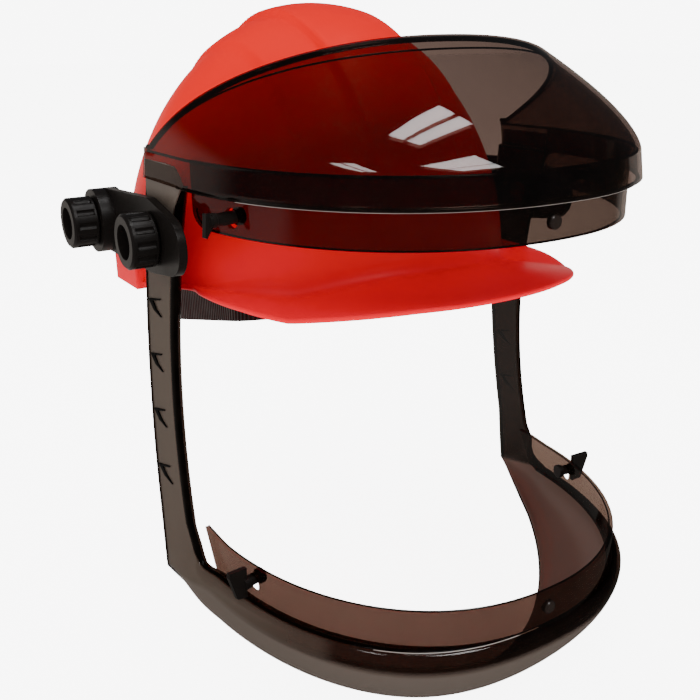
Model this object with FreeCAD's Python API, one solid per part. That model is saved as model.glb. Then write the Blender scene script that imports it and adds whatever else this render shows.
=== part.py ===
import FreeCAD, Part
import math
import os

"""Hard-hat face shield: a smoke-tinted window frame with a brow visor, two side
arms and a chin guard, carried on a hard hat by a pair of swinging side links.

Millimetres.  +Z is up, the wearer looks along -Y, the wearer's right is -X.
The origin is the centre of the headband's opening.
"""

V = FreeCAD.Vector
UP = V(0, 0, 1)
SIDES = (("right", -1), ("left", 1))

# ---------------------------------------------------------------- driving sizes
STUD_GAP = 203.5            # height between the upper and lower window studs
STUD_LOW_Z = -124.0         # height of the lower studs
STUD_TOP_Z = STUD_LOW_Z + STUD_GAP
FRAME_Y = -79.6             # widest section of both window flanges
WALL = 2.4                  # moulded wall of the smoke frame
SEAM = 0.1                  # gap left where two pieces of the frame meet

# window flanges: half-width and depth of their plan curve
PLAN_POWER = 2.2
TOP_A, TOP_B = 122.6, 143.2
LOW_A, LOW_B = 123.8, 156.6
TOP_FLANGE_Z = (70.3, 104.4)
LOW_FLANGE_TOP = -113.7
LEDGE_REACH = 2.7
STUD_SIDE_ANGLE = 73.0      # side studs, measured round the plan curve from the front
HOLE_R = 5.2
CENTRE_STUD_R, CENTRE_STUD_LEN = 3.75, 3.2

# brow visor: skirt outside the top flange, dome above it, arch at the back
SKIRT_OUT = 5.2
SKIRT_FLARE = 1.8
SKIRT_LOW_Z = 90.1
DOME_Z = TOP_FLANGE_Z[1]
DOME_RISE = 59.6
DOME_POWER = 2.4            # squareness of the dome that sets the arch line
MERIDIAN_FRONT, MERIDIAN_SIDE = 1.42, 2.1   # fullness of the dome's own curve
ARCH_BACK_Y = -40.5         # where the arch meets the arms
ARCH_BACK_Z = 103.7
ARCH_SLOPE = 0.566

# chin guard: top edge, and rim of the bowl, as plan curves
CHIN_A, CHIN_B, CHIN_Y, CHIN_POWER = 131.3, 189.3, -48.5, 2.55
RIM_A, RIM_B, RIM_Y, RIM_POWER = 132.8, 156.9, -28.3, 1.96
CHIN_TOP_Z = -134.8
RIM_DROP = 66.0
RIM_SWEEP = 0.78            # how the rim rises from the front to the sides
CHIN_CURVE = 1.6            # roundness of the bowl's section
CHIN_BULGE = 9.5            # how far the wall swells beyond its top edge

# arms: outer face's back and front edges, each coordinate as level, slope and bend
# over one step of height above the lower studs
ARM_STEP = 88.5
ARM_BACK_X, ARM_BACK_Y = (139.0, -3.66, -0.15), (-45.4, 18.4, -6.73)
ARM_FRONT_X, ARM_FRONT_Y = (135.8, -2.44, 0.0), (-76.7, 27.7, -12.6)
ARM_LIP = (3.1, 4.95)       # the front lip runs inwards and forwards by these
ARM_LIP_BEND = 0.29         # tangent of half the bend between face and lip
ARM_TOP_Z = SKIRT_LOW_Z
ARM_LOW_Z = -146.0
ARM_LEVELS = (ARM_LOW_Z, -124.0, -80.0, -35.0, 9.0, 53.0, ARM_TOP_Z)

# side links, pivots and knobs
PIVOT_Y, PIVOT_Z = -63.7, 60.6
CLAMP_Y, CLAMP_Z = 13.3, 59.3
LINK_X = (133.7, 138.2)
HUB_X = (130.2, 146.0)
HUB_R = 19.0
BOLT_R = 4.0
BOLT_PLAY = 0.08
KNOB_R = 15.0
KNOB_LEN = 15.6
KNOB_EDGE = 1.2             # bevel of a knob's edges
KNOB_FLUTES, FLUTE_R, FLUTE_REACH = 12, 2.3, 16.1
FLUTE_SPAN = (2.5, 12.6)    # along the knob from its inner face
KNOB_HOLLOW_R, KNOB_HOLLOW_DEPTH = 9.5, 6.0
KNOB_BORE_DEPTH = 8.0
KNOB_GAP = 0.3              # between a knob and the plate it turns against
LINK_PAD_R = 20.6            # link plate round the pivot
LINK_NOSE = (-86.4, 60.4, 15.8)     # y, z, radius of the link's front end
BOLT_REACH = 7.5            # how far a bolt runs into its knob
BOLT_HEAD_R, BOLT_HEAD_LEN = 7.0, 2.6
WASHER_R, WASHER_X = 11.0, (131.2, 133.6)

# turn fasteners that hold the window's sides
FASTENER_HEAD_R, FASTENER_HEAD_LEN = 4.4, 2.6
FASTENER_STEM_R, FASTENER_COLLAR_R = 3.3, 3.9
FIN_HALF = 1.4
# each fastener sits back and up in its hole by seat, its stem carries a flat fin with
# this outline of distances out from the flange and heights above the stem's axis
TOP_SEAT, LOW_SEAT = (1.9, 0.0), (1.2, 1.4)
TOP_FIN = ((13.0, 3.4), (16.8, 4.2), (17.9, -7.4), (16.9, -8.0), (13.2, -3.4))
LOW_FIN = ((6.0, 9.8), (17.6, 11.0), (17.9, 8.0), (13.2, -7.2), (6.6, -8.6))

# hard hat
HAT_Y, HAT_Z = 1.0, 18.6
HAT_A, HAT_B, HAT_C = 123.0, 129.0, 158.0
HAT_WALL = 2.6
HAT_SLOPE = -0.085
RIDGES = ((60.0, 2.8), (28.0, 6.0))     # half-width, height above the shell
PEAK_A, PEAK_B, PEAK_Y, PEAK_POWER = 115.0, 127.5, -66.0, 2.2
EDGE_THICK = 3.0
EDGE_OUT = 2.0
LUG_X = (110.0, 129.5)      # slotted lug on each side of the hat
LUG_TOP_Z = 42.0
LUG_HALF = 19.0
SLOT_X = (123.7, 126.7)
SLOT_PLAY = 0.3
ADAPTER_HALF = 13.0

# slot adapters that carry the links on the hat
ADAPTER_FOOT_Z = 23.0
ADAPTER_CORNER_R = 8.0
BOSS_R = 9.5

# suspension
BAND_A, BAND_B = 84.0, 98.0
BAND_WALL = 2.2
BAND_HALF_H = 11.0
BAND_CORNER_R = 58.0
BAND_TILT = -13.5
NAPE_GAP = 33.0             # half-width of the gap the ratchet bridges
PAD_GAP, PAD_THICK, PAD_BACK_Y = 0.4, 4.2, -25.0
RATCHET_Y = 99.3
PINION_R = 4.2
KEY_ANGLE = 52.0
KEY_LOW_Z = 29.0
KEY_BLOCK = (98.6, 9.0, 26.0, 20.0)     # distance out, depth, width, height
KEY_TAB = (107.0, 30.0, 16.0, 4.0)
KEY_BAND_PLAY = 0.6         # room left round the headband where a clip passes it
STRAP_REACH, STRAP_RISE = 98.0, 92.0
STRAP_WIDTH, STRAP_THICK = 20.0, 1.3
STRAP_SPACING = 2.0         # how much higher the upper strap passes
HOUSING_W, HOUSING_D, HOUSING_H = 64.0, 11.0, 30.0
HOUSING_WALL = 3.4
HOUSING_CORNER_R = 6.0
RACK_HALF_H, RACK_THICK = 6.2, 2.0
RACK_SPAN = (-8.0, 30.0)
RACK_PAD = (24.0, 42.0)
RATCHET_KNOB_R, RATCHET_KNOB_LEN = 16.0, 13.0
RATCHET_FLUTES, RATCHET_FLUTE_R, RATCHET_FLUTE_REACH = 16, 1.6, 16.6


# ---------------------------------------------------------------- plan curves
def plan_point(a, b, y0, power, angle):
    """Point of a superellipse; angle 0 is the front, +90 the left side."""
    s = math.sin(math.radians(angle))
    c = math.cos(math.radians(angle))
    x = a * math.copysign(abs(s) ** (2 / power), s)
    y = y0 - b * math.copysign(abs(c) ** (2 / power), c)
    return V(x, y, 0)


def plan_normal(a, b, y0, power, angle):
    ahead = plan_point(a, b, y0, power, angle + 0.2)
    behind = plan_point(a, b, y0, power, angle - 0.2)
    tangent = ahead.sub(behind).normalize()
    return V(tangent.y, -tangent.x, 0)


def plan_reach(point, direction, a, b, y0, power):
    """Distance along direction from point to a superellipse, by bisection."""
    def outside(d):
        q = point + direction * d
        value = abs(q.x / a) ** power + abs((y0 - q.y) / b) ** power
        return value > 1
    low, high = (-60.0, 60.0)
    for _ in range(40):
        mid = (low + high) / 2
        if outside(mid):
            high = mid
        else:
            low = mid
    return low


def plan_face(points):
    """Flat face inside a closed smooth curve through points."""
    curve = Part.BSplineCurve()
    curve.interpolate(points, PeriodicFlag=True)
    return Part.Face(Part.Wire([curve.toShape()]))


# ---------------------------------------------------------------- solids
def spline(points):
    curve = Part.BSplineCurve()
    curve.interpolate(points)
    return curve.toShape()


def polygon(points):
    return Part.makePolygon(points + [points[0]])


def loft(wires):
    return Part.makeLoft(wires, True, False)


def cylinder(radius, start, axis, length):
    return Part.makeCylinder(radius, length, start, axis)


def side_cylinder(radius, x0, x1, y, z, sign):
    """Cylinder along X between two distances from the middle, on one side."""
    return cylinder(radius, V(sign * x0, y, z), V(sign, 0, 0), x1 - x0)


def side_box(x0, x1, y0, y1, z0, z1, sign):
    low = x0 if sign > 0 else -x1
    return Part.makeBox(x1 - x0, y1 - y0, z1 - z0, V(low, y0, z0))


def mirrored(shape, sign):
    """The +X shape itself, or its mirror image for the -X side."""
    return shape if sign > 0 else shape.mirror(V(0, 0, 0), V(1, 0, 0))


def section(base, normal, pairs):
    """Places (reach, height) pairs in the upright plane through base along normal."""
    return [base + normal * r + UP * z for r, z in pairs]


def rotated_x(shape, degrees):
    turned = shape.copy()
    turned.rotate(V(0, 0, 0), V(1, 0, 0), degrees)
    return turned


# ---------------------------------------------------------------- window frame
def visor_station(angle, extra_y):
    """Section of the visor: skirt, dome and arch edge, as one closed wire."""
    def outline(inset):
        a = TOP_A + SKIRT_OUT - inset
        b = TOP_B + SKIRT_OUT - inset
        foot = plan_point(a, b, 0, PLAN_POWER, angle)
        flare = plan_point(a + SKIRT_FLARE, b + SKIRT_FLARE, 0, PLAN_POWER, angle)
        shift = V(0, FRAME_Y + extra_y, 0)
        share, height = arch_meeting(foot, DOME_RISE - inset, extra_y)
        rise = height / (1 - share ** power) ** (1 / power)
        top = math.acos(share ** (power / 2))
        points = []
        for i in range(7):
            tilt = top * i / 6
            c = math.cos(tilt) ** (2 / power)
            s = math.sin(tilt) ** (2 / power)
            points.append(V(foot.x * c, foot.y * c, DOME_Z + rise * s) + shift)
        return flare + shift + UP * SKIRT_LOW_Z, points

    sideways = abs(angle) / 90
    power = MERIDIAN_FRONT + (MERIDIAN_SIDE - MERIDIAN_FRONT) * sideways ** 5
    outer_low, outer = outline(0.0)
    inner_low, inner = outline(WALL)
    edges = [
        Part.makeLine(outer_low, outer[0]),
        spline(outer),
        Part.makeLine(outer[-1], inner[-1]),
        spline(inner[::-1]),
        Part.makeLine(inner[0], inner_low),
        Part.makeLine(inner_low, outer_low),
    ]
    return Part.Wire(edges)


def arch_meeting(foot, rise, extra_y):
    """Where a meridian meets the plane of the arch: share of the foot, and height."""
    low, high = 0.02, math.pi / 2
    for _ in range(40):
        mid = (low + high) / 2
        y = foot.y * math.cos(mid) ** (2 / DOME_POWER) + FRAME_Y + extra_y
        z = DOME_Z + rise * math.sin(mid) ** (2 / DOME_POWER)
        if z > max(ARCH_BACK_Z + ARCH_SLOPE * (ARCH_BACK_Y - y), DOME_Z + 2.0):
            high = mid
        else:
            low = mid
    share = math.cos(low) ** (2 / DOME_POWER)
    height = rise * math.sin(low) ** (2 / DOME_POWER)
    return share, height


def brow_visor():
    back = ARCH_BACK_Y - FRAME_Y
    half = [(a, 0) for a in (14, 29, 43, 57, 70, 80, 90)]
    half += [(90, back * share) for share in (0.35, 0.7, 1.0)]
    stations = [(-angle, extra) for angle, extra in half[::-1]] + [(0, 0)] + half
    return loft([visor_station(angle, extra) for angle, extra in stations])


def flange_wires(a, b, angles, pairs_at):
    wires = []
    for angle in angles:
        base = plan_point(a, b, FRAME_Y, PLAN_POWER, angle)
        normal = plan_normal(a, b, FRAME_Y, PLAN_POWER, angle)
        wires.append(polygon(section(base, normal, pairs_at(base, normal))))
    return wires


FLANGE_ANGLES = (-86, -80, -72, -62, -50, -38, -25, -12, 0, 12, 25, 38, 50, 62, 72, 80, 86)


def stud_place(a, b, angle, z):
    base = plan_point(a, b, FRAME_Y, PLAN_POWER, angle)
    normal = plan_normal(a, b, FRAME_Y, PLAN_POWER, angle)
    return base + UP * z, normal


def with_holes(flange, a, b, z):
    for angle in (-STUD_SIDE_ANGLE, STUD_SIDE_ANGLE):
        base, normal = stud_place(a, b, angle, z)
        flange = flange.cut(cylinder(HOLE_R, base - normal * 8, normal, 14))
    return flange


def top_window_flange():
    low, high = TOP_FLANGE_Z

    def pairs(base, normal):
        return [(0, low), (0, high - WALL), (LEDGE_REACH, high - WALL),
                (LEDGE_REACH, high), (-WALL, high), (-WALL, low)]
    shape = loft(flange_wires(TOP_A, TOP_B, FLANGE_ANGLES, pairs))
    return with_holes(shape, TOP_A, TOP_B, STUD_TOP_Z)


def bottom_window_flange():
    low, high = CHIN_TOP_Z - WALL, LOW_FLANGE_TOP

    def pairs(base, normal):
        reach = plan_reach(base, normal, CHIN_A, CHIN_B, CHIN_Y, CHIN_POWER) - SEAM
        return [(0, high), (0, CHIN_TOP_Z), (reach, CHIN_TOP_Z), (reach, low),
                (-WALL, low), (-WALL, high)]
    shape = loft(flange_wires(LOW_A, LOW_B, FLANGE_ANGLES, pairs))
    return with_holes(shape, LOW_A, LOW_B, STUD_LOW_Z)


def chin_section(angle):
    """Closed section of the chin wall, from its top edge round to its rim."""
    base = plan_point(CHIN_A, CHIN_B, CHIN_Y, CHIN_POWER, angle)
    normal = plan_normal(CHIN_A, CHIN_B, CHIN_Y, CHIN_POWER, angle)
    rim_r = plan_reach(base, normal, RIM_A, RIM_B, RIM_Y, RIM_POWER)
    share = (RIM_Y - (base + normal * rim_r).y) / RIM_B
    drop = RIM_DROP * share ** RIM_SWEEP

    def wall_point(turn):
        across = 1 - max(math.cos(turn), 0) ** CHIN_CURVE
        down = max(math.sin(turn), 0) ** CHIN_CURVE
        reach = rim_r * across + CHIN_BULGE * math.sin(2 * turn)
        return reach, CHIN_TOP_Z - drop * down

    outer = []
    inner = []
    for i in range(10):
        turn = math.radians(10 * i)
        r, z = wall_point(turn)
        r_low, z_low = wall_point(turn - 0.01)
        r_high, z_high = wall_point(turn + 0.01)
        along_r, along_z = r_high - r_low, z_high - z_low
        size = math.hypot(along_r, along_z)
        outer.append((r, z))
        inner.append((r + WALL * along_z / size, z - WALL * along_r / size))
    outer = section(base, normal, outer)
    inner = section(base, normal, inner)
    edges = [
        spline(outer),
        Part.makeLine(outer[-1], inner[-1]),
        spline(inner[::-1]),
        Part.makeLine(inner[0], outer[0]),
    ]
    return Part.Wire(edges)


def chin_guard():
    half = (10, 20, 31, 42, 53, 64, 73, 80, 85, 88)
    angles = [-a for a in half[::-1]] + [0] + list(half)
    return loft([chin_section(angle) for angle in angles])


def arm_edges(z):
    """Back and front edges of an arm's outer face at a height."""
    q = (z - STUD_LOW_Z) / ARM_STEP

    def along(curve):
        level, slope, bend = curve
        return level + slope * q + bend * q * q
    back = V(along(ARM_BACK_X), along(ARM_BACK_Y), z)
    front = V(along(ARM_FRONT_X), along(ARM_FRONT_Y), z)
    return back, front


def arm(sign):
    """Flat strip beside the face, its front edge bent round into a short lip."""
    lip = V(-ARM_LIP[0], -ARM_LIP[1], 0)
    inwards = V(-ARM_LIP[1], ARM_LIP[0], 0).normalize() * WALL
    wires = []
    for z in ARM_LEVELS:
        back, front = arm_edges(z)
        wires.append(polygon([
            back,
            front,
            front + lip,
            front + lip + inwards,
            front + V(-WALL, WALL * ARM_LIP_BEND, 0),
            back - V(WALL, 0, 0),
        ]))
    shape = loft(wires)
    shape = shape.cut(side_cylinder(BOLT_R, 110, 150, PIVOT_Y, PIVOT_Z, 1))
    return mirrored(shape, sign)


def centre_stud(a, b, z):
    """Low button stud on the flange's front, with a bevelled end."""
    base, normal = stud_place(a, b, 0, z)
    stud = cylinder(CENTRE_STUD_R, base, normal, CENTRE_STUD_LEN)
    end = [e for e in stud.Edges if e.BoundBox.YMax < base.y - CENTRE_STUD_LEN / 2]
    return stud.makeChamfer(0.7, end)


def turn_fastener(base, normal, seat, fin):
    """Turn fastener: round inner head, stem through the flange, collar and flat fin."""
    ahead = V(-normal.y, normal.x, 0) * math.copysign(1, -normal.x)
    base = base - ahead * seat[0] + UP * seat[1]
    behind = WALL + 0.3
    reach = fin[0][0]
    head = cylinder(FASTENER_HEAD_R, base - normal * (behind + FASTENER_HEAD_LEN), normal,
                    FASTENER_HEAD_LEN)
    shank = cylinder(FASTENER_STEM_R, base - normal * (behind + 1), normal, reach + behind + 3)
    collar = cylinder(FASTENER_COLLAR_R, base + normal * (reach - 1.5), normal, 2.5)
    outline = section(base - ahead * FIN_HALF, normal, fin)
    blade = Part.Face(polygon(outline)).extrude(ahead * (2 * FIN_HALF))
    return head.fuse(shank).fuse(collar).fuse(blade).removeSplitter()


# ---------------------------------------------------------------- links and knobs
def tangent_plate(circles, x0, x1):
    """Plate outlined by a chain of circles and their outer tangents."""
    plate = None
    for y, z, r in circles:
        disc = cylinder(r, V(x0, y, z), V(1, 0, 0), x1 - x0)
        plate = disc if plate is None else plate.fuse(disc)
    for (y1, z1, r1), (y2, z2, r2) in zip(circles, circles[1:]):
        along = math.atan2(z2 - z1, y2 - y1)
        spread = math.acos((r1 - r2) / math.hypot(y2 - y1, z2 - z1))
        corners = []
        for y, z, r, turn in ((y1, z1, r1, spread), (y2, z2, r2, spread),
                              (y2, z2, r2, -spread), (y1, z1, r1, -spread)):
            corners.append(V(x0, y + r * math.cos(along + turn), z + r * math.sin(along + turn)))
        web = Part.Face(polygon(corners)).extrude(V(x1 - x0, 0, 0))
        plate = plate.fuse(web)
    return plate.removeSplitter()


def link_plate(sign):
    circles = ((CLAMP_Y, CLAMP_Z, HUB_R), (PIVOT_Y + 4, PIVOT_Z + 1, LINK_PAD_R), LINK_NOSE)
    plate = tangent_plate(circles, *LINK_X)
    plate = plate.fuse(side_cylinder(HUB_R, *HUB_X, CLAMP_Y, CLAMP_Z, 1))
    for y, z in ((CLAMP_Y, CLAMP_Z), (PIVOT_Y, PIVOT_Z)):
        plate = plate.cut(side_cylinder(BOLT_R + BOLT_PLAY, 100, 170, y, z, 1))
    return mirrored(plate.removeSplitter(), sign)


def knob(x0, y, z, sign):
    """Fluted knob with a hollow end face and a blind bore for its bolt."""
    x1 = x0 + KNOB_LEN
    body = side_cylinder(KNOB_R, x0, x1, y, z, 1)
    body = body.makeChamfer(KNOB_EDGE, [body.Edges[0], body.Edges[2]])
    for i in range(KNOB_FLUTES):
        turn = 2 * math.pi * i / KNOB_FLUTES
        cy = y + FLUTE_REACH * math.cos(turn)
        cz = z + FLUTE_REACH * math.sin(turn)
        flute = side_cylinder(FLUTE_R, x0 + FLUTE_SPAN[0], x0 + FLUTE_SPAN[1], cy, cz, 1)
        body = body.cut(flute)
    body = body.cut(side_cylinder(KNOB_HOLLOW_R, x1 - KNOB_HOLLOW_DEPTH, x1 + 1, y, z, 1))
    bore = side_cylinder(BOLT_R + BOLT_PLAY, x0 - 1, x0 + KNOB_BORE_DEPTH, y, z, 1)
    return mirrored(body.cut(bore), sign)


def pivot_bolt(sign):
    head_x = arm_edges(PIVOT_Z)[0].x - WALL - BOLT_HEAD_LEN - 0.6
    bolt = side_cylinder(BOLT_R, head_x + 1, LINK_X[1] + BOLT_REACH, PIVOT_Y, PIVOT_Z, 1)
    head = side_cylinder(BOLT_HEAD_R, head_x, head_x + BOLT_HEAD_LEN, PIVOT_Y, PIVOT_Z, 1)
    return mirrored(bolt.fuse(head).removeSplitter(), sign)


def clamp_bolt(sign):
    bolt = side_cylinder(BOLT_R, SLOT_X[0] + 1.0, HUB_X[1] + BOLT_REACH, CLAMP_Y, CLAMP_Z, 1)
    return mirrored(bolt, sign)


def friction_washer(sign):
    ring = side_cylinder(WASHER_R, *WASHER_X, PIVOT_Y, PIVOT_Z, 1)
    ring = ring.cut(side_cylinder(BOLT_R + 0.3, *WASHER_X, PIVOT_Y, PIVOT_Z, 1))
    return mirrored(ring, sign)


def slot_adapter(sign):
    """Tongue in the hat's side slot, rising to a boss that carries the link."""
    plate = side_box(SLOT_X[0] + SLOT_PLAY, SLOT_X[1] - SLOT_PLAY, CLAMP_Y - ADAPTER_HALF,
                     CLAMP_Y + ADAPTER_HALF, ADAPTER_FOOT_Z, CLAMP_Z + ADAPTER_HALF, 1)
    corners = [e for e in plate.Edges
               if abs(e.tangentAt(e.FirstParameter).x) > 0.9 and e.BoundBox.ZMin > 50]
    plate = plate.makeFillet(ADAPTER_CORNER_R, corners)
    boss = side_cylinder(BOSS_R, SLOT_X[1] - 1.0, HUB_X[0] - 0.4, CLAMP_Y, CLAMP_Z, 1)
    shape = plate.fuse(boss)
    shape = shape.cut(side_cylinder(BOLT_R, SLOT_X[0] + 1.0, 140, CLAMP_Y, CLAMP_Z, 1))
    return mirrored(shape.removeSplitter(), sign)


# ---------------------------------------------------------------- hard hat
def ellipsoid(grow):
    ball = Part.makeSphere(1.0)
    scale = FreeCAD.Matrix()
    scale.scale(HAT_A + grow, HAT_B + grow, HAT_C + grow)
    ball = ball.transformGeometry(scale)
    ball.translate(V(0, HAT_Y, HAT_Z))
    return ball


def sloped_slab(low, high):
    """Slab between two heights above the hat's sloping edge plane."""
    slab = Part.makeBox(400, 500, high - low, V(-200, -250, low))
    slab.rotate(V(0, 0, 0), V(1, 0, 0), math.degrees(math.atan(HAT_SLOPE)))
    slab.translate(V(0, HAT_Y, HAT_Z))
    return slab


def ridged_dome(grow):
    """Egg of the hat with its stepped crown ridges, all offset by grow."""
    dome = ellipsoid(grow)
    for half, rise in RIDGES:
        width = half + grow
        panel = Part.makeBox(2 * width, 400, 260, V(-width, HAT_Y - 200, HAT_Z + 40))
        dome = dome.fuse(ellipsoid(rise + grow).common(panel))
    return dome


def hat_shell():
    shell = ridged_dome(0).common(sloped_slab(0, 300))
    ring = [plan_point(HAT_A + EDGE_OUT, HAT_B + EDGE_OUT, HAT_Y, 2, a) for a in range(0, 360, 12)]
    peak = [plan_point(PEAK_A, PEAK_B, PEAK_Y, PEAK_POWER, a) for a in range(-84, 85, 12)]
    peak += [V(90, 10, 0), V(0, 40, 0), V(-90, 10, 0)]
    edge = None
    for outline in (ring, peak):
        prism = plan_face(outline).extrude(V(0, 0, 160))
        prism.translate(V(0, 0, -60))
        plate = prism.common(sloped_slab(0, EDGE_THICK))
        edge = plate if edge is None else edge.fuse(plate)
    shell = shell.fuse(edge)
    for sign in (-1, 1):
        lug = side_box(*LUG_X, CLAMP_Y - LUG_HALF, CLAMP_Y + LUG_HALF, HAT_Z, LUG_TOP_Z, sign)
        shell = shell.fuse(lug)
    shell = shell.cut(ridged_dome(-HAT_WALL))
    for sign in (-1, 1):
        slot = side_box(*SLOT_X, CLAMP_Y - ADAPTER_HALF - SLOT_PLAY,
                        CLAMP_Y + ADAPTER_HALF + SLOT_PLAY,
                        ADAPTER_FOOT_Z - 1, CLAMP_Z, sign)
        shell = shell.cut(slot)
    return shell.removeSplitter()


# ---------------------------------------------------------------- suspension
def oval_block(grow, half_h):
    box = Part.makeBox(2 * (BAND_A + grow), 2 * (BAND_B + grow), 2 * half_h,
                       V(-BAND_A - grow, -BAND_B - grow, -half_h))
    upright = [e for e in box.Edges if abs(e.tangentAt(e.FirstParameter).z) > 0.9]
    return box.makeFillet(BAND_CORNER_R + grow, upright)


def headband():
    ring = oval_block(0, BAND_HALF_H).cut(oval_block(-BAND_WALL, BAND_HALF_H + 1))
    gap = Part.makeBox(2 * NAPE_GAP, 60, 60, V(-NAPE_GAP, 60, -30))
    return rotated_x(ring.cut(gap), BAND_TILT)


def brow_pad():
    outer = -BAND_WALL - PAD_GAP
    ring = oval_block(outer, BAND_HALF_H - 1).cut(oval_block(outer - PAD_THICK, BAND_HALF_H))
    front = Part.makeBox(300, 100, 80, V(-150, PAD_BACK_Y - 100, -40))
    return rotated_x(ring.common(front), BAND_TILT)


def crown_strap(turn, lift):
    """Webbing over the crown in an upright plane at an angle to the wearer's front."""
    def arc(inset):
        reach = STRAP_REACH - inset
        rise = STRAP_RISE + lift - inset
        turns = [math.radians(a) for a in range(4, 177, 12)]
        return [V(reach * math.cos(a), 0, rise * math.sin(a)) for a in turns]
    outer = arc(0)
    inner = arc(STRAP_THICK)
    wire = Part.Wire([spline(outer), Part.makeLine(outer[-1], inner[-1]),
                      spline(inner[::-1]), Part.makeLine(inner[0], outer[0])])
    strap = Part.Face(wire).extrude(V(0, STRAP_WIDTH, 0))
    strap.translate(V(0, -STRAP_WIDTH / 2, KEY_LOW_Z + 3))
    strap.rotate(V(0, 0, 0), UP, turn)
    return strap


def suspension_keys():
    """Four clips against the shell's inner wall that hold the straps' ends."""
    hollow = ellipsoid(-HAT_WALL - SEAM)
    band_room = rotated_x(oval_block(KEY_BAND_PLAY, BAND_HALF_H + KEY_BAND_PLAY), BAND_TILT)
    keys = []
    for turn in (KEY_ANGLE, 180 - KEY_ANGLE, 180 + KEY_ANGLE, 360 - KEY_ANGLE):
        key = None
        for (start, depth, width, height), lift in ((KEY_BLOCK, 0), (KEY_TAB, 6)):
            bar = Part.makeBox(depth, width, height, V(start, -width / 2, KEY_LOW_Z + lift))
            key = bar if key is None else key.fuse(bar)
        key.rotate(V(0, 0, 0), UP, turn)
        keys.append(key.common(hollow).cut(band_room).removeSplitter())
    return Part.Compound(keys)


def ratchet_housing():
    along = V(0, 1, 0)
    half_h = HOUSING_H / 2
    box = Part.makeBox(HOUSING_W, HOUSING_D, HOUSING_H,
                       V(-HOUSING_W / 2, RATCHET_Y - HOUSING_WALL, -half_h))
    corners = [e for e in box.Edges if abs(e.tangentAt(e.FirstParameter).y) > 0.9]
    box = box.makeFillet(HOUSING_CORNER_R, corners)
    slot_h = RACK_HALF_H + SLOT_PLAY
    slot = Part.makeBox(HOUSING_W + 2, RACK_THICK + 3.2, 2 * slot_h,
                        V(-HOUSING_W / 2 - 1, RATCHET_Y - RACK_THICK / 2 - 0.4, -slot_h))
    bore = cylinder(BOLT_R + BOLT_PLAY, V(0, RATCHET_Y, 0), along, HOUSING_D)
    return rotated_x(box.cut(slot).cut(bore), BAND_TILT)


def band_tail(sign):
    """Rack that runs from the headband's end into the ratchet housing."""
    y0, y1 = RATCHET_Y - RACK_THICK / 2, RATCHET_Y + RACK_THICK / 2
    inner = PINION_R + 0.4
    z0, z1 = (-RACK_HALF_H, -inner) if sign < 0 else (inner, RACK_HALF_H)
    rail = side_box(*RACK_SPAN, y0, y1, z0, z1, sign)
    pad = side_box(*RACK_PAD, y0, y1, -RACK_HALF_H, RACK_HALF_H, sign)
    return rotated_x(rail.fuse(pad).removeSplitter(), BAND_TILT)


def ratchet_pinion():
    along = V(0, 1, 0)
    gear = cylinder(PINION_R, V(0, RATCHET_Y - RACK_THICK / 2, 0), along, 4.4)
    shaft = cylinder(BOLT_R, V(0, RATCHET_Y + 3, 0), along, 7.2)
    return rotated_x(gear.fuse(shaft).removeSplitter(), BAND_TILT)


def ratchet_knob():
    along = V(0, 1, 0)
    start = RATCHET_Y + HOUSING_D - HOUSING_WALL + 0.4
    body = cylinder(RATCHET_KNOB_R, V(0, start, 0), along, RATCHET_KNOB_LEN)
    for i in range(RATCHET_FLUTES):
        turn = 2 * math.pi * i / RATCHET_FLUTES
        x, z = RATCHET_FLUTE_REACH * math.cos(turn), RATCHET_FLUTE_REACH * math.sin(turn)
        flute = cylinder(RATCHET_FLUTE_R, V(x, start - 1, z), along, RATCHET_KNOB_LEN + 2)
        body = body.cut(flute)
    body = body.cut(cylinder(BOLT_R, V(0, start - 1, 0), along, 3.4))
    return rotated_x(body, BAND_TILT)


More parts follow.
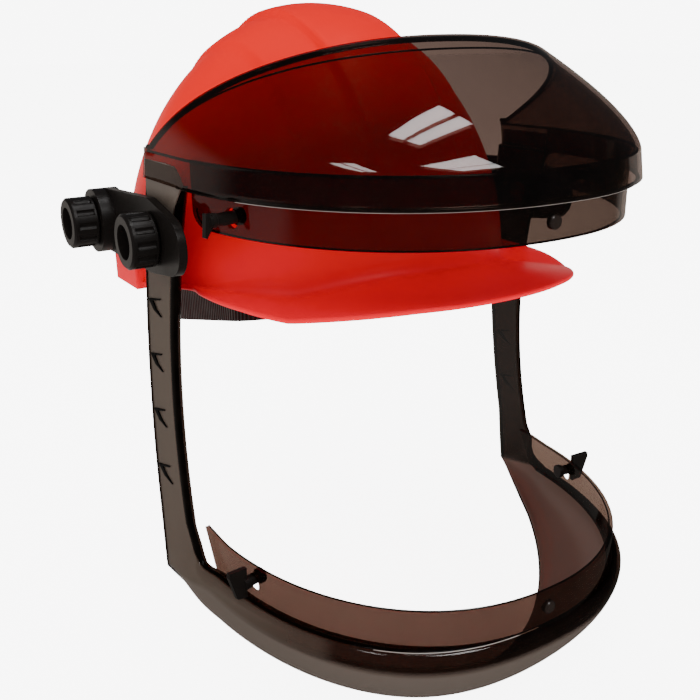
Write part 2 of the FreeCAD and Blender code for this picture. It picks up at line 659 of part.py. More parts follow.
# ---------------------------------------------------------------- build
def build():
    chin = chin_guard()
    nodes = {
        "hat_shell": hat_shell(),
        "headband": headband(),
        "brow_pad": brow_pad(),
        "crown_strap_lower": crown_strap(KEY_ANGLE, 0.0),
        "crown_strap_upper": crown_strap(-KEY_ANGLE, STRAP_SPACING),
        "suspension_keys": suspension_keys(),
        "ratchet_housing": ratchet_housing(),
        "ratchet_pinion": ratchet_pinion(),
        "ratchet_knob": ratchet_knob(),
        "brow_visor": brow_visor(),
        "top_window_flange": top_window_flange(),
        "bottom_window_flange": bottom_window_flange().cut(chin),
        "chin_guard": chin,
        "top_centre_stud": centre_stud(TOP_A, TOP_B, STUD_TOP_Z),
        "bottom_centre_stud": centre_stud(LOW_A, LOW_B, STUD_LOW_Z),
    }
    for side, sign in SIDES:
        nodes[f"{side}_arm"] = arm(sign).cut(chin)
        nodes[f"{side}_band_tail"] = band_tail(sign)
        nodes[f"{side}_slot_adapter"] = slot_adapter(sign)
        nodes[f"{side}_link_plate"] = link_plate(sign)
        nodes[f"{side}_clamp_bolt"] = clamp_bolt(sign)
        nodes[f"{side}_clamp_knob"] = knob(HUB_X[1] + KNOB_GAP, CLAMP_Y, CLAMP_Z, sign)
        nodes[f"{side}_pivot_bolt"] = pivot_bolt(sign)
        nodes[f"{side}_pivot_knob"] = knob(LINK_X[1] + KNOB_GAP, PIVOT_Y, PIVOT_Z, sign)
        nodes[f"{side}_friction_washer"] = friction_washer(sign)
        base, normal = stud_place(TOP_A, TOP_B, sign * STUD_SIDE_ANGLE, STUD_TOP_Z)
        nodes[f"{side}_top_fastener"] = turn_fastener(base, normal, TOP_SEAT, TOP_FIN)
        base, normal = stud_place(LOW_A, LOW_B, sign * STUD_SIDE_ANGLE, STUD_LOW_Z)
        nodes[f"{side}_bottom_fastener"] = turn_fastener(base, normal, LOW_SEAT, LOW_FIN)
    os.makedirs("parts", exist_ok=True)
    for name, shape in nodes.items():
        solids = len(shape.Solids)
        print(f"{name:24s} valid {shape.isValid()} solids {solids} volume {shape.Volume:.0f}")
        shape.exportStep(f"parts/{name}.step")


build()
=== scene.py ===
import math

import bpy
import numpy as np
from mathutils import Matrix, Vector


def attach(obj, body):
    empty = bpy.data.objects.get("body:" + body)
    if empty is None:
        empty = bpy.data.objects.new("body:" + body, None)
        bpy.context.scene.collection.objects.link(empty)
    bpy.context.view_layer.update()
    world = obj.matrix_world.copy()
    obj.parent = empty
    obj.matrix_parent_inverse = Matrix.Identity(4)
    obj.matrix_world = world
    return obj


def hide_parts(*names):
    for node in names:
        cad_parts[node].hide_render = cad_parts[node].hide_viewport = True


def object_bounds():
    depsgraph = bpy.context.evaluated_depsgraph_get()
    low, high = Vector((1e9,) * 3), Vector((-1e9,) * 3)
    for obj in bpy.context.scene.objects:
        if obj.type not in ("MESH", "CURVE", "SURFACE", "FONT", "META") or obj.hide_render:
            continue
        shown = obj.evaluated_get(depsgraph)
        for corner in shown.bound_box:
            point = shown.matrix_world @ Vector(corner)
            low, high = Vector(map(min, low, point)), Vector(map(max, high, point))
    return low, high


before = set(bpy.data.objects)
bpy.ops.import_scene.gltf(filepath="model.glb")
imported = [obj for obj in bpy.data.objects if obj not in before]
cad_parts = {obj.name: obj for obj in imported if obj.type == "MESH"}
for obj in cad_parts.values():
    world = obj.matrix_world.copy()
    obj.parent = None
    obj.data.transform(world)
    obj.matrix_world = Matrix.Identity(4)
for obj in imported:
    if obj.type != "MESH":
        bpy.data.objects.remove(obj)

CAD_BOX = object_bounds()
MM = 0.001
SIDES = (("right", -1), ("left", 1))

# ------------------------------------------------------------ sizes, millimetres
PLAN_POWER = 2.2
FRAME_Y = -79.6
WALL = 2.4
TOP_A, TOP_B = 122.6, 143.2
LOW_A, LOW_B = 123.8, 156.6
TOP_FLANGE = (70.3, 104.4)  # lower and upper edge of each flange
LOW_FLANGE = (-134.8, -113.7)
FLANGE_END_ANGLE = 86.5
STUD_TOP_Z, STUD_LOW_Z = 79.5, -124.0
STUD_ANGLE = 73.0
HOLE_R = 5.2
LINE_SIDES = 8              # sides of the thin beads along moulded edges
SKIRT_OUT, SKIRT_FLARE, SKIRT_LOW_Z = 5.2, 1.8, 90.1
DOME_Z, DOME_RISE, DOME_POWER = 104.4, 59.6, 2.4
ARCH_Y, ARCH_Z, ARCH_SLOPE = -40.5, 103.7, 0.566
CHIN = (131.3, 189.3, -48.5, 2.55)
RIM = (132.8, 156.9, -28.3, 1.96)
CHIN_TOP_Z, RIM_DROP, RIM_SWEEP, CHIN_CURVE, CHIN_BULGE = -134.8, 66.0, 0.78, 1.6, 9.5
CHIN_END_ANGLE = 79.0       # where the chin's wall gives way to the corner
CORNER = (139.2, -46.3, -151.0)
INNER_CORNER = ((135.3, -78.3, -119.0), (134.6, -81.5, -127.5), (133.2, -88.0, -133.2))
ARM_LIP = (3.1, 4.95)       # the arms' front lip runs inwards and forwards by these
ARM_TOP_Z, ARM_FOOT_Z = 90.3, -110.0
ARM_SPAN = 88.5             # height unit of the arms' curved edges
# grey-brown plate that paints the arms' reflected sheen: how far it stands out, and its outline as (y, z)
SHEEN_PATCH_RISE = 0.7
SHEEN_PATCH = ((-41.2, 66.0), (-41.2, 100.5), (-72.0, 101.0), (-84.0, 100.5), (-89.5, 97.0), (-93.5, 92.5),
        (-90.5, 90.0), (-86.5, 87.0), (-82.5, 82.5), (-77.5, 76.0), (-71.0, 71.5), (-56.0, 70.0))
NOTCH = ((0.62, 0.0), (0.09, -3.3), (0.33, -8.6), (0.66, -10.8), (0.43, -7.5), (0.28, -3.4), (0.60, -0.9))
NOTCH_Z = (23.5, -10.0, -44.5, -79.5)
NOTCH_DEPTH, NOTCH_RISE = -0.2, 0.9
CLAMP = (13.3, 59.3)
HAT_Y, HAT_Z = 0.5, 18.6
HAT_A, HAT_B, HAT_C = 124.0, 129.0, 158.5
HAT_SLOPE = -0.085
HAT_WALL, HAT_RIM_R, BRIM_T = 2.6, 1.5, 3.0
HAT_DROP_Y = (-185.0, -165.0, -140.0, -110.0, -60.0, -30.0, 0.0)
HAT_DROP = (1.0, 3.0, 5.5, 2.0, -2.0, -3.0, 0.0)
RIDGES = ((2.2, 58.0, 61.5), (3.6, 27.0, 30.0))     # rise, where its flank starts and ends
PEAK = (115.0, 127.5, -66.0, 2.2)
LUG_X, LUG_Z, LUG_HALF = (118.0, 129.3), (17.5, 42.0), 19.0
SLOT_X, SLOT_END, LUG_BEVEL = (123.7, 126.7), 5.7, 1.2
BAND_A, BAND_B, BAND_R, BAND_TILT = 84.0, 98.0, 58.0, -13.5
PAD_OUT, PAD_IN, PAD_HALF, PAD_SHARE = -2.3, -8.5, 10.2, 0.215
STRAP_HALF, STRAP_T, STRAP_TURN = 10.0, 1.3, 52.0
STRAP_REACH, STRAP_FOOT_Z, STRAP_RISE, STRAP_STEP = 97.4, 32.0, 91.4, 2.0
SURROUND = 8.0              # brightness of the bare white surround
LAMP_LENGTH, LAMP_GAP = 0.75, 0.04      # metres

# ------------------------------------------------------------ camera, metres
CAMERA_AT = (-0.3035, -0.5252, 0.1621)
CAMERA_BACK = (-0.5035, -0.7991, 0.3285)
CAMERA_RIGHT = (0.8460, -0.5331, 0.0)
CAMERA_ROLL = -0.7306       # degrees
CAMERA_LENS, CAMERA_SENSOR = 46.26, 36.0


# ------------------------------------------------------------ plan curves
def plan_point(a, b, y0, power, angle):
    """Point of a superellipse in plan, angle in degrees from the front towards the left."""
    s = math.sin(math.radians(angle))
    c = math.cos(math.radians(angle))
    x = a * math.copysign(abs(s) ** (2 / power), s)
    y = y0 - b * math.copysign(abs(c) ** (2 / power), c)
    return np.array([x, y, 0.0])


def plan_normal(a, b, y0, power, angle):
    """Outward direction of the plan curve at angle."""
    t = plan_point(a, b, y0, power, angle + 0.2) - plan_point(a, b, y0, power, angle - 0.2)
    t /= np.linalg.norm(t)
    return np.array([t[1], -t[0], 0.0])


def plan_reach(point, direction, a, b, y0, power, far=60.0):
    """Distance along direction from point to the plan curve, within far either way."""
    low, high = -far, far
    for _ in range(40):
        mid = (low + high) / 2
        q = point + direction * mid
        if abs(q[0] / a) ** power + abs((y0 - q[1]) / b) ** power > 1:
            high = mid
        else:
            low = mid
    return low


def smooth(x, low, high):
    """Eased step from 0 at low to 1 at high."""
    t = min(max((x - low) / (high - low), 0.0), 1.0)
    return t * t * (3 - 2 * t)


# ------------------------------------------------------------ mesh helpers
def new_object(name, points, faces, material, body, replaces=(), smooth_shade=True):
    """Mesh object from points in millimetres, riding on body and standing for the CAD nodes it replaces."""
    mesh = bpy.data.meshes.new(name)
    mesh.from_pydata([tuple(float(c) * MM for c in p) for p in points], [], faces)
    mesh.update()
    mesh.validate()
    obj = bpy.data.objects.new(name, mesh)
    bpy.context.scene.collection.objects.link(obj)
    if smooth_shade:
        mesh.polygons.foreach_set("use_smooth", [True] * len(mesh.polygons))
    mesh.materials.append(material)
    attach(obj, body)
    if replaces:
        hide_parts(*replaces)
    return obj


def grid(rows, wrap_u=False, wrap_v=False, cap=False, flip=False):
    """Points and faces of a grid: rows of equal length; wraps and end caps where asked."""
    n, m = len(rows), len(rows[0])
    points = [p for row in rows for p in row]
    faces = []
    for i in range(n if wrap_u else n - 1):
        for j in range(m if wrap_v else m - 1):
            a = i * m + j
            b = i * m + (j + 1) % m
            c = ((i + 1) % n) * m + (j + 1) % m
            d = ((i + 1) % n) * m + j
            faces.append((a, d, c, b) if flip else (a, b, c, d))
    if cap:
        first = tuple(range(m))
        last = tuple(range((n - 1) * m, n * m))
        faces.append(first if flip else first[::-1])
        faces.append(last[::-1] if flip else last)
    return points, faces


def thicken(obj, thickness, offset=-1.0, inside=None):
    """Gives a surface a wall; inside is the material of its other face."""
    mod = obj.modifiers.new("wall", "SOLIDIFY")
    if inside:
        obj.data.materials.append(inside)
        mod.material_offset = 1
    mod.thickness = thickness * MM
    mod.offset = offset
    mod.use_even_offset = True
    mod.use_quality_normals = True


def bake(obj):
    """Replaces an object's mesh by its evaluated one, so later cuts start from plain geometry."""
    deps = bpy.context.evaluated_depsgraph_get()
    mesh = bpy.data.meshes.new_from_object(obj.evaluated_get(deps))
    obj.modifiers.clear()
    old = obj.data
    obj.data = mesh
    bpy.data.meshes.remove(old)


def cut(obj, centre, axis, radius, length):
    """Drills a round hole through obj."""
    axis = Vector(axis).normalized()
    bpy.ops.mesh.primitive_cylinder_add(vertices=64, radius=radius * MM, depth=length * MM)
    tool = bpy.context.object
    tool.matrix_world = (Matrix.Translation(Vector(centre) * MM)
                         @ axis.to_track_quat("Z", "Y").to_matrix().to_4x4())
    mod = obj.modifiers.new("hole", "BOOLEAN")
    mod.operation = "DIFFERENCE"
    mod.object = tool
    mod.solver = "EXACT"
    bake(obj)
    bpy.data.objects.remove(tool)


def by_angle(obj, degrees=35):
    """Smooth shading that stays crisp at edges sharper than degrees."""
    bpy.ops.object.select_all(action="DESELECT")
    obj.select_set(True)
    bpy.context.view_layer.objects.active = obj
    bpy.ops.object.shade_smooth_by_angle(angle=math.radians(degrees))


def frame_bead(name, path, radius, material, sides=LINE_SIDES):
    """Round bead along a path of points on the face frame."""
    pts = np.array(path, float)
    last = len(pts) - 1
    rows = []
    up = np.array([0.0, 0.0, 1.0])
    for i, point in enumerate(pts):
        step = pts[min(i + 1, last)] - pts[max(i - 1, 0)]
        t = step / np.linalg.norm(step)
        side = np.cross(t, up)
        side /= max(np.linalg.norm(side), 1e-6)
        lift = np.cross(side, t)
        row = []
        for k in range(sides):
            w = 2 * math.pi * k / sides
            row.append(point + side * radius * math.cos(w) + lift * radius * math.sin(w))
        rows.append(row)
    points, faces = grid(rows, wrap_v=True, cap=True)
    new_object(name, points, faces, material, "face_frame")


def frame_prism(name, rings, material):
    """Flat-sided plate on the face frame between two rings of points."""
    count = len(rings[0])
    faces = [tuple(range(count)), tuple(range(2 * count - 1, count - 1, -1))]
    faces += [(a, (a + 1) % count, count + (a + 1) % count, count + a) for a in range(count)]
    new_object(name, rings[0] + rings[1], faces, material, "face_frame", smooth_shade=False)


# ------------------------------------------------------------ materials
class Mat:
    """Small wrapper that builds a node material."""

    def __init__(self, name):
        self.mat = bpy.data.materials.new(name)
        self.mat.use_nodes = True
        self.tree = self.mat.node_tree
        self.tree.nodes.clear()
        self.out = self.node("ShaderNodeOutputMaterial")
        self.coord = self.node("ShaderNodeTexCoord").outputs["Object"]

    def node(self, kind, **values):
        n = self.tree.nodes.new(kind)
        for key, value in values.items():
            setattr(n, key, value)
        return n

    def link(self, a, b):
        self.tree.links.new(a, b)

    def feed(self, value, socket):
        """Links an output to a socket, or sets a plain value on it."""
        if hasattr(value, "is_output"):
            self.link(value, socket)
        else:
            socket.default_value = value

    def noise(self, scale, detail=4.0):
        n = self.node("ShaderNodeTexNoise")
        self.link(self.coord, n.inputs["Vector"])
        n.inputs["Scale"].default_value = scale
        n.inputs["Detail"].default_value = detail
        n.inputs["Roughness"].default_value = 0.55
        return n.outputs["Fac"]

    def remap(self, value, low, high, from_low=0.3, from_high=0.7):
        n = self.node("ShaderNodeMapRange")
        self.link(value, n.inputs["Value"])
        n.inputs["From Min"].default_value = from_low
        n.inputs["From Max"].default_value = from_high
        n.inputs["To Min"].default_value = low
        n.inputs["To Max"].default_value = high
        return n.outputs["Result"]

    def math(self, op, a, b=None):
        n = self.node("ShaderNodeMath", operation=op)
        self.feed(a, n.inputs[0])
        if b is not None:
            self.feed(b, n.inputs[1])
        return n.outputs[0]

    def mix_color(self, fac, a, b):
        n = self.node("ShaderNodeMix", data_type="RGBA")
        for i, v in ((0, fac), (6, a), (7, b)):
            self.feed(v, n.inputs[i])
        return n.outputs[2]

    def bump(self, height, strength, distance, normal=None):
        n = self.node("ShaderNodeBump")
        self.link(height, n.inputs["Height"])
        n.inputs["Strength"].default_value = strength
        n.inputs["Distance"].default_value = distance
        if normal is not None:
            self.link(normal, n.inputs["Normal"])
        return n.outputs["Normal"]


def rgb(r, g, b):
    return (r, g, b, 1.0)


def plastic(name, colour, dark, rough, bump=0.05, bevel=0.0, spec=0.5):
    """Opaque moulded plastic with a fine grain and drifting tone and gloss; bevel rounds its edges."""
    m = Mat(name)
    base = m.mix_color(m.remap(m.noise(14.0), 0.0, 1.0), dark, colour)
    p = m.node("ShaderNodeBsdfPrincipled")
    m.link(base, p.inputs["Base Color"])
    m.link(m.remap(m.noise(35.0), rough * 0.85, rough * 1.2), p.inputs["Roughness"])
    p.inputs["Specular IOR Level"].default_value = spec
    edge = None
    if bevel:
        b = m.node("ShaderNodeBevel", samples=4)
        b.inputs["Radius"].default_value = bevel * MM
        edge = b.outputs["Normal"]
    m.link(m.bump(m.noise(900.0, 2.0), bump, 0.0002, edge), p.inputs["Normal"])
    m.link(p.outputs[0], m.out.inputs["Surface"])
    return m.mat


def smoke(name, tint, gloss=0.03, haze=0.012, shine=0.3, painted_sheen=None, low=None, low_from=0.0):
    """Transparent smoke plastic with flow lines, fine dust and a polished surface.

    tint is what one surface lets through.  The sheen colour is a matt veil that paints the
    arms' reflected sheen where the mesh's attribute of that name says so; low is the colour of
    a pale matt veil that paints light on the chin's wall below the share low_from of its
    section, held in the attribute "section".
    """
    m = Mat(name)
    flow = m.remap(m.noise(7.0, 3.0), 0.0, 1.0)
    colour = m.mix_color(flow, rgb(*tint), rgb(*(c ** 1.12 for c in tint)))
    clear = m.node("ShaderNodeBsdfTransparent")
    m.link(colour, clear.inputs["Color"])
    shade = rgb(0.10, 0.065, 0.05)
    dust_and_painted_veil = m.node("ShaderNodeBsdfDiffuse")
    dust_and_painted_veil.inputs["Color"].default_value = shade
    cover = m.remap(m.noise(70.0, 6.0), haze * 0.5, haze * 1.6)
    # matt veils of painted light: the arms' reflected sheen and the chin wall's lighter lower part
    zones = (("painted_sheen", painted_sheen, 0.0, 1.0), ("section", low, low_from, low_from + 0.06))
    for zone_name, painted_veil, start, end in zones:
        if painted_veil:
            place = m.node("ShaderNodeAttribute", attribute_name=zone_name).outputs["Fac"]
            zone = m.remap(place, 0.0, 1.0, start, end)
            tone = m.mix_color(flow, rgb(*painted_veil), rgb(*(c * 0.93 for c in painted_veil)))
            shade = m.mix_color(zone, shade, tone)
            m.link(shade, dust_and_painted_veil.inputs["Color"])
            cover = m.math("MAXIMUM", cover, m.math("MULTIPLY", zone, 0.75))
    veil = m.node("ShaderNodeMixShader")
    m.link(cover, veil.inputs[0])
    m.link(clear.outputs[0], veil.inputs[1])
    m.link(dust_and_painted_veil.outputs[0], veil.inputs[2])
    ripple = m.bump(m.noise(9.0, 1.0), 0.02, 0.004)
    facing = m.node("ShaderNodeLayerWeight")
    facing.inputs["Blend"].default_value = 0.5
    m.link(ripple, facing.inputs["Normal"])
    edge = m.math("POWER", facing.outputs["Facing"], 5.0)
    polish = m.node("ShaderNodeBsdfAnisotropic")
    m.link(m.remap(m.noise(22.0, 4.0), gloss * 0.8, gloss * 1.6), polish.inputs["Roughness"])
    m.link(ripple, polish.inputs["Normal"])
    both = m.node("ShaderNodeMixShader")
    m.link(m.math("ADD", m.math("MULTIPLY", edge, shine), 0.08 * shine), both.inputs[0])
    m.link(veil.outputs[0], both.inputs[1])
    m.link(polish.outputs[0], both.inputs[2])
    m.link(both.outputs[0], m.out.inputs["Surface"])
    return m.mat


def hat_plastic():
    """Satin-gloss orange-red shell, deeper and cooler towards the peak."""
    m = Mat("hat_red")
    split = m.node("ShaderNodeSeparateXYZ")
    m.link(m.coord, split.inputs[0])
    height = m.remap(split.outputs["Z"], 0.0, 1.0, 0.035, 0.10)
    flow = m.remap(m.noise(8.0), 0.0, 1.0)
    warm = m.mix_color(flow, rgb(0.88, 0.0030, 0.0007), rgb(0.93, 0.0040, 0.0009))
    deep = m.mix_color(flow, rgb(0.92, 0.0028, 0.018), rgb(0.97, 0.0036, 0.021))
    p = m.node("ShaderNodeBsdfPrincipled")
    m.link(m.mix_color(height, deep, warm), p.inputs["Base Color"])
    m.link(m.remap(m.noise(20.0), 0.30, 0.42), p.inputs["Roughness"])
    p.inputs["Specular IOR Level"].default_value = 0.05
    m.link(m.bump(m.noise(500.0, 3.0), 0.05, 0.0002), p.inputs["Normal"])
    m.link(p.outputs[0], m.out.inputs["Surface"])
    return m.mat


def ribbed_band():
    """Dark flexible band with fine upright ribs round its length; the ribs' hollows are painted darker than
    their crests as painted shade.
    """
    m = Mat("band_ribbed")
    split = m.node("ShaderNodeSeparateXYZ")
    m.link(m.coord, split.inputs[0])
    turn = m.math("ARCTAN2", split.outputs["X"], split.outputs["Y"])
    ribs = m.math("SINE", m.math("MULTIPLY", turn, 190.0))
    p = m.node("ShaderNodeBsdfPrincipled")
    # rib hollows darker than the crests: painted shade
    hollow_shade, crest = rgb(0.010, 0.002, 0.002), rgb(0.034, 0.006, 0.006)
    m.link(m.mix_color(m.remap(ribs, 0.0, 1.0, -1.0, 1.0), hollow_shade, crest), p.inputs["Base Color"])
    m.link(m.remap(m.noise(60.0), 0.40, 0.55), p.inputs["Roughness"])
    p.inputs["Specular IOR Level"].default_value = 0.1
    m.link(m.bump(ribs, 0.6, 0.0008), p.inputs["Normal"])
    m.link(p.outputs[0], m.out.inputs["Surface"])
    return m.mat


def woven(name, colour, dark, scale):
    """Woven or terry cloth from two crossed waves and a soft fuzz."""
    m = Mat(name)
    waves = []
    for direction in ("X", "Z"):
        w = m.node("ShaderNodeTexWave", bands_direction=direction)
        m.link(m.coord, w.inputs["Vector"])
        w.inputs["Scale"].default_value = scale
        w.inputs["Distortion"].default_value = 1.5
        waves.append(w.outputs["Fac"])
    weave = m.math("MULTIPLY", *waves)
    p = m.node("ShaderNodeBsdfPrincipled")
    m.link(m.mix_color(m.remap(weave, 0.0, 1.0, 0.0, 0.8), dark, colour), p.inputs["Base Color"])
    m.link(m.remap(m.noise(80.0), 0.8, 0.95), p.inputs["Roughness"])
    p.inputs["Sheen Weight"].default_value = 0.25
    fuzz = m.math("ADD", weave, m.noise(700.0, 4.0))
    m.link(m.bump(fuzz, 0.5, 0.0006), p.inputs["Normal"])
    m.link(p.outputs[0], m.out.inputs["Surface"])
    return m.mat


def brushed(name):
    """Plain steel with a fine uneven gloss."""
    m = Mat(name)
    p = m.node("ShaderNodeBsdfPrincipled")
    streak = m.noise(400.0, 2.0)
    m.link(m.mix_color(streak, rgb(0.42, 0.42, 0.43), rgb(0.62, 0.62, 0.63)), p.inputs["Base Color"])
    p.inputs["Metallic"].default_value = 1.0
    m.link(m.remap(streak, 0.25, 0.4), p.inputs["Roughness"])
    m.link(p.outputs[0], m.out.inputs["Surface"])
    return m.mat


SMOKE = smoke("smoke_shell", (0.415, 0.335, 0.30))
# darker copy of the smoke: its lower tint paints the visor skirt's shadow on the top flange
SMOKE_TOP_SHADED = smoke("smoke_top_flange_shaded", (0.35, 0.28, 0.245))
SMOKE_LOW = smoke("smoke_low_flange", (0.45, 0.36, 0.31))
# the sheen colour is a matt grey-brown veil that paints the arms' reflected sheen
SMOKE_ARM = smoke("smoke_arm", (0.185, 0.13, 0.105), shine=0.25, painted_sheen=(0.083, 0.063, 0.049),
                  low=(0.115, 0.091, 0.076), low_from=0.27)
# low, here and in the arm material above, is a pale matt veil that paints light on the chin wall's lower
# part
SMOKE_BACK = smoke("smoke_arm_inside", (0.185, 0.13, 0.105), low=(0.14, 0.088, 0.070), low_from=0.24)
SMOKE_EDGE = smoke("smoke_edge", (0.08, 0.045, 0.035), gloss=0.05, haze=0.05, shine=0.25)
SMOKE_LIP = smoke("smoke_lip", (0.012, 0.008, 0.006), gloss=0.05, haze=0.02, shine=0.06)
# opaque grey-brown that paints the reflected sheen of the arms' upper faces
SHEEN_PATCH_PLASTIC = plastic("arm_painted_sheen_patch", rgb(0.105, 0.080, 0.063), rgb(0.092, 0.070, 0.055), 0.4,
                       bump=0.04, spec=0.2)
# light grey tubes that paint highlights along the skirt's lower edge and the chin ledge
GLINT = plastic("edge_glint", rgb(0.42, 0.38, 0.35), rgb(0.24, 0.20, 0.18), 0.2, bump=0.03)
HAT_RED = hat_plastic()
BLACK = plastic("black_satin", rgb(0.010, 0.008, 0.007), rgb(0.005, 0.004, 0.0035), 0.34,
                bump=0.10, bevel=0.5, spec=0.08)
# near-black that paints the shade on the walls of the arms' notches
NOTCH_SHADE = plastic("notch_painted_shade", rgb(0.003, 0.0025, 0.0025), rgb(0.0015, 0.0015, 0.0015), 0.55,
               bump=0.05, spec=0.02)
STUD = plastic("stud_dark", rgb(0.020, 0.013, 0.010), rgb(0.010, 0.007, 0.006), 0.22,
               bump=0.04, bevel=0.4, spec=0.2)
BAND = ribbed_band()
KEY = plastic("suspension_black", rgb(0.014, 0.012, 0.012), rgb(0.008, 0.007, 0.007), 0.42,
              bevel=0.6, spec=0.2)
PAD = woven("brow_terry", rgb(0.035, 0.033, 0.036), rgb(0.012, 0.011, 0.013), 260.0)
WEB = woven("strap_webbing", rgb(0.05, 0.045, 0.05), rgb(0.015, 0.013, 0.015), 160.0)
STEEL = brushed("bolt_steel")
RUBBER = plastic("washer_rubber", rgb(0.018, 0.018, 0.018), rgb(0.010, 0.010, 0.010), 0.65, bevel=0.2)


# ------------------------------------------------------------ brow visor
def arch_meeting(foot, extra_y):
    """Where the dome over foot meets the slanting arch: its share of the reach and its height."""
    low, high = 0.02, math.pi / 2
    for _ in range(40):
        mid = (low + high) / 2
        y = foot[1] * math.cos(mid) ** (2 / DOME_POWER) + FRAME_Y + extra_y
        z = DOME_Z + DOME_RISE * math.sin(mid) ** (2 / DOME_POWER)
        if z > max(ARCH_Z + ARCH_SLOPE * (ARCH_Y - y), DOME_Z + 2.0):
            high = mid
        else:
            low = mid
    return math.cos(low) ** (2 / DOME_POWER), DOME_RISE * math.sin(low) ** (2 / DOME_POWER)


def visor_row(angle, extra_y):
    """Outer line of the visor at one station, from the skirt's lower edge to the arch."""
    a, b = TOP_A + SKIRT_OUT, TOP_B + SKIRT_OUT
    foot = plan_point(a, b, 0, PLAN_POWER, angle)
    low = plan_point(a + SKIRT_FLARE, b + SKIRT_FLARE, 0, PLAN_POWER, angle)
    shift = np.array([0, FRAME_Y + extra_y, 0.0])
    power = 1.42 + 0.68 * (abs(angle) / 90) ** 5
    share, height = arch_meeting(foot, extra_y)
    rise = height / (1 - share ** power) ** (1 / power)
    top = math.acos(share ** (power / 2))
    row = []
    for i in range(6):
        t = i / 6
        row.append(low + (foot - low) * t + shift
                   + np.array([0, 0, SKIRT_LOW_Z + (DOME_Z - SKIRT_LOW_Z) * t]))
    for i in range(41):
        tilt = top * (i / 40) ** 1.15
        c = math.cos(tilt) ** (2 / power)
        s = math.sin(tilt) ** (2 / power)
        row.append(np.array([foot[0] * c, foot[1] * c, DOME_Z + rise * s]) + shift)
    return row


def build_visor():
    """Visor shell, round the front and straight back along both sides, with its moulded edge lines and a
    painted highlight line under the skirt's edge.
    """
    back = ARCH_Y - FRAME_Y
    round_steps, straight_steps = 70, 14
    half = [(0.5 + 89.5 * i / round_steps, 0.0) for i in range(1, round_steps + 1)]
    half += [(90.0, back * i / straight_steps) for i in range(1, straight_steps + 1)]
    stations = [(-a, e) for a, e in half[::-1]] + [(0.0, 0.0)] + half
    rows = [visor_row(a, e) for a, e in stations]
    points, faces = grid(rows)
    shell = new_object("visor_shell", points, faces, SMOKE, "face_frame", ("brow_visor",))
    thicken(shell, WALL, -1.0)
    end = straight_steps + 1
    skirt = rows[end:-end]
    lines = {
        "visor_arch_bead": ([row[-1] for row in rows], 1.4, SMOKE_EDGE),
        "visor_arch_line": ([row[-4] for row in rows], 0.5, SMOKE_EDGE),
        "visor_shoulder_line": ([row[6] for row in rows], 0.8, SMOKE_EDGE),
        "visor_skirt_bead": ([row[0] for row in skirt], 1.1, SMOKE_EDGE),
        "visor_skirt_glint": ([row[0] + (row[0] - row[1]) * 0.4 for row in skirt[end:-end]], 0.25, GLINT),
    }
    for name, (path, radius, material) in lines.items():
        frame_bead(name, path, radius, material)


# ------------------------------------------------------------ window flanges
def flange_strip(name, a, b, low, high, node, material, tip=0.0, corner=0.0):
    """Upright strip round the plan curve.

    tip sweeps the top of each end outwards, corner rounds the foot of each end.
    """
    rows = []
    count = 180
    end_pace = 150.0        # millimetres along the strip per unit of share, near its ends
    for i in range(count + 1):
        share = math.sin(math.pi / 2 * (-1 + 2 * i / count))
        inside = max(corner - (1 - abs(share)) * end_pace, 0.0)
        foot = low + corner - math.sqrt(max(corner * corner - inside * inside, 0.0))
        row = []
        for k in range(9):
            t = k / 8
            base = plan_point(a, b, FRAME_Y, PLAN_POWER, share * (FLANGE_END_ANGLE + tip * t))
            lift = tip * 0.5 * t * smooth(abs(share), 0.9, 1.0)
            row.append(base + np.array([0, 0, foot + (high - foot) * t + lift]))
        rows.append(row)
    points, faces = grid(rows)
    strip = new_object(name, points, faces, material, "face_frame", (node,))
    thicken(strip, WALL, -1.0)
    bake(strip)
    stud_z = STUD_TOP_Z if low > 0 else STUD_LOW_Z
    for angle in (-STUD_ANGLE, STUD_ANGLE):
        base = plan_point(a, b, FRAME_Y, PLAN_POWER, angle) + np.array([0, 0, stud_z])
        normal = plan_normal(a, b, FRAME_Y, PLAN_POWER, angle)
        cut(strip, base, normal, HOLE_R, 30.0)
    by_angle(strip)
    edge = [row[-1] for row in rows] if low < 0 else [row[0] for row in rows]
    frame_bead(name + "_edge", edge, 0.5, SMOKE_EDGE)


# ------------------------------------------------------------ arms and chin
def arm_edges(z):
    """Back and front edge of the left arm's outer face at height z."""
    q = (z - STUD_LOW_Z) / ARM_SPAN
    back = np.array([139.0 - 3.66 * q - 0.15 * q * q, -45.4 + 18.4 * q - 6.73 * q * q, z])
    front = np.array([135.8 - 2.44 * q, -76.7 + 27.7 * q - 12.6 * q * q, z])
    return back, front


def chin_ends(angle):
    """Top edge, rim, outward direction and ledge width of the chin wall at one angle."""
    top = plan_point(*CHIN, angle)
    normal = plan_normal(*CHIN, angle)
    rim_r = plan_reach(top, normal, *RIM)
    rim = top + normal * rim_r
    drop = RIM_DROP * ((RIM[2] - rim[1]) / RIM[1]) ** RIM_SWEEP
    ledge = -plan_reach(top, normal, LOW_A, LOW_B, FRAME_Y, PLAN_POWER)
    top = top + np.array([0, 0, CHIN_TOP_Z])
    rim = rim + np.array([0, 0, CHIN_TOP_Z - drop])
    return top, rim, normal, max(ledge, 1.0)


def catmull(points, count):
    """Smooth run of count points through a few control points."""
    pts = [np.array(p, float) for p in points]
    pts = [2 * pts[0] - pts[1]] + pts + [2 * pts[-1] - pts[-2]]
    segments = len(pts) - 3
    out = []
    for i in range(count):
        u = segments * i / (count - 1)
        k = min(int(u), segments - 1)
        t = u - k
        p0, p1, p2, p3 = pts[k:k + 4]
        out.append(0.5 * (2 * p1 + (p2 - p0) * t + (2 * p0 - 5 * p1 + 4 * p2 - p3) * t * t
                          + (3 * p1 - p0 - 3 * p2 + p3) * t ** 3))
    return out


